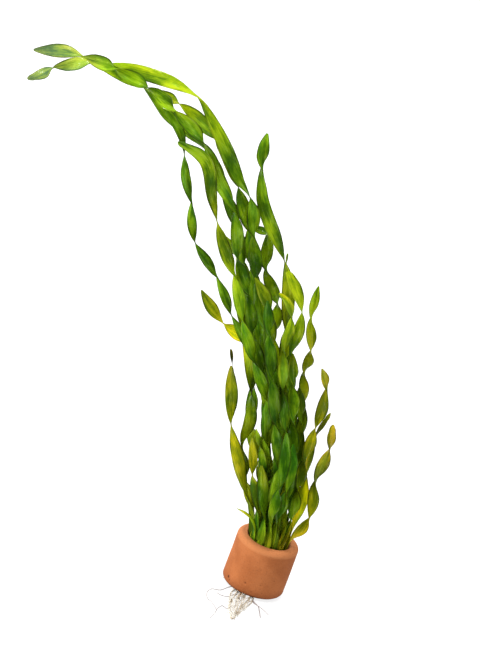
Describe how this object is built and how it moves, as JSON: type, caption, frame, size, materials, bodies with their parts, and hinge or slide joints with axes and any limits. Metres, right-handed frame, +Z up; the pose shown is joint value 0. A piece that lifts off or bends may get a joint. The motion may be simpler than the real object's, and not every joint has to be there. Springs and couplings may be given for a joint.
{
  "type": "vallisneria in a clay pot",
  "caption": "Aquarium plant with long twisted ribbon leaves that lean and stream to one side, growing in a small round clay pot with roots trailing from under its foot.",
  "frame": {"origin": "on the pot's axis, on the table, at the flat underside of the roots the pot stands on", "axes": "+Z up the pot's axis, +Y away from the front, +X to the right of the front; the leaves lean and stream towards -X"},
  "size_m": [0.3304, 0.1068, 0.3861],
  "materials": {
    "clay": "bare fired clay, matte",
    "root_fibre": "packed brown root fibre",
    "root_pale": "pale wet root",
    "leaf": "wet satin green leaf, slightly see-through"
  },
  "bodies": {
    "root": {"clay_pot": "clay", "root_ball": "root_fibre", "roots": "root_pale", "leaf_01": "leaf", "leaf_02": "leaf", "leaf_03": "leaf", "leaf_04": "leaf", "leaf_05": "leaf", "leaf_06": "leaf", "leaf_07": "leaf", "leaf_08": "leaf", "leaf_09": "leaf", "leaf_10": "leaf", "leaf_11": "leaf", "leaf_12": "leaf", "leaf_13": "leaf", "leaf_14": "leaf", "leaf_15": "leaf", "leaf_16": "leaf", "leaf_17": "leaf", "leaf_18": "leaf", "leaf_19": "leaf", "leaf_20": "leaf", "leaf_21": "leaf", "leaf_22": "leaf", "leaf_23": "leaf", "leaf_24": "leaf", "leaf_25": "leaf", "leaf_26": "leaf", "leaf_27": "leaf", "leaf_28": "leaf", "leaf_29": "leaf", "leaf_30": "leaf", "leaf_31": "leaf", "leaf_32": "leaf", "leaf_33": "leaf", "leaf_34": "leaf", "leaf_35": "leaf", "leaf_36": "leaf"}
  },
  "joints": []
}
